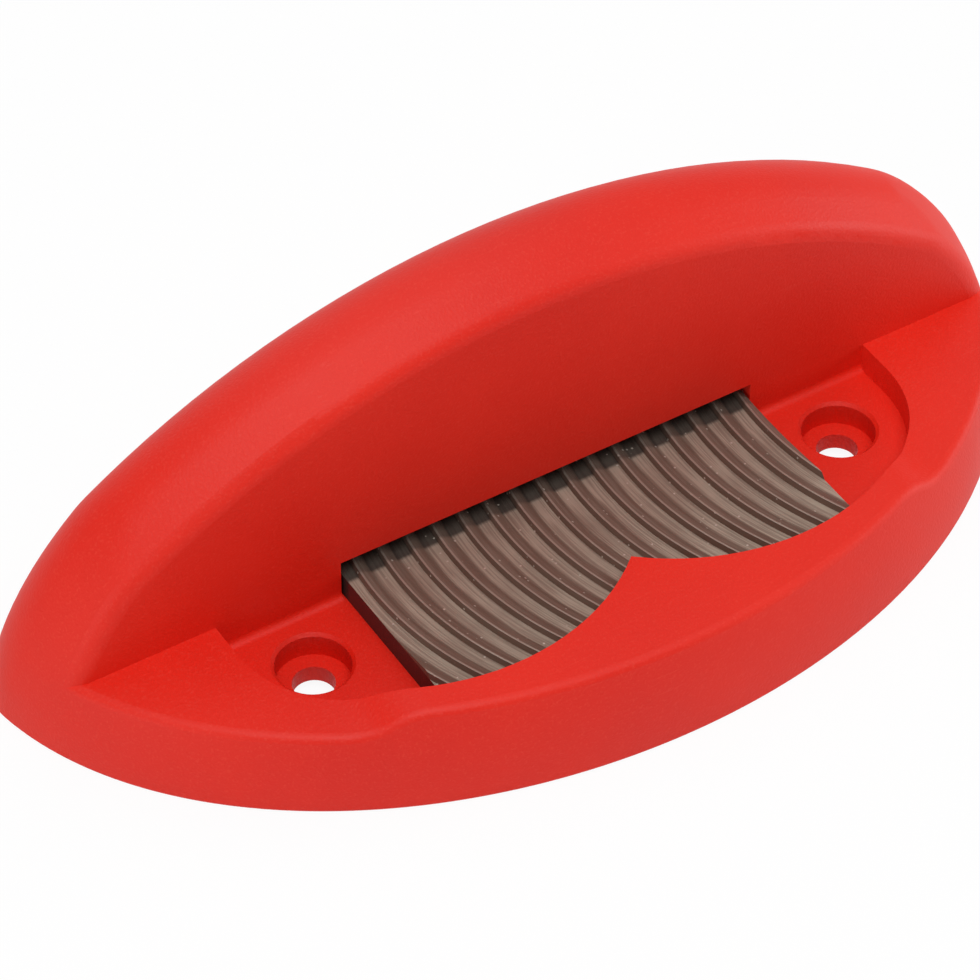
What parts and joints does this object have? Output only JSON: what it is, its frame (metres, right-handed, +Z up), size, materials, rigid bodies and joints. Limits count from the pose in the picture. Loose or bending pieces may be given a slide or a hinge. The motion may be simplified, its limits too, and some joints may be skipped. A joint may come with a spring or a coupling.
{
  "type": "edge tuning tool",
  "caption": "Palm-sized ski and snowboard edge tuning tool: red pebble-shaped shell with an L notch, raised front lip, counterbored mounting holes and a slide-in curved-tooth file.",
  "frame": {"origin": "on the underside, at mid-length, straight below the guide face", "axes": "+X along the tool and the ski edge, +Y from the front lip through the guide face to the back of the grip, +Z up out of the underside"},
  "size_m": [0.121, 0.055, 0.0386],
  "materials": {
    "red_plastic": "satin",
    "file_steel": "satin",
    "black_plastic": "matte"
  },
  "bodies": {
    "shell": {"body": "red_plastic"},
    "file_slide": {"file": "file_steel", "file_carrier": "black_plastic"}
  },
  "joints": [
    {"name": "file_slide_out", "type": "slide", "parent": "shell", "child": "file_slide", "axis": [0, 1, 0], "range_m": [0, 0.04]}
  ]
}
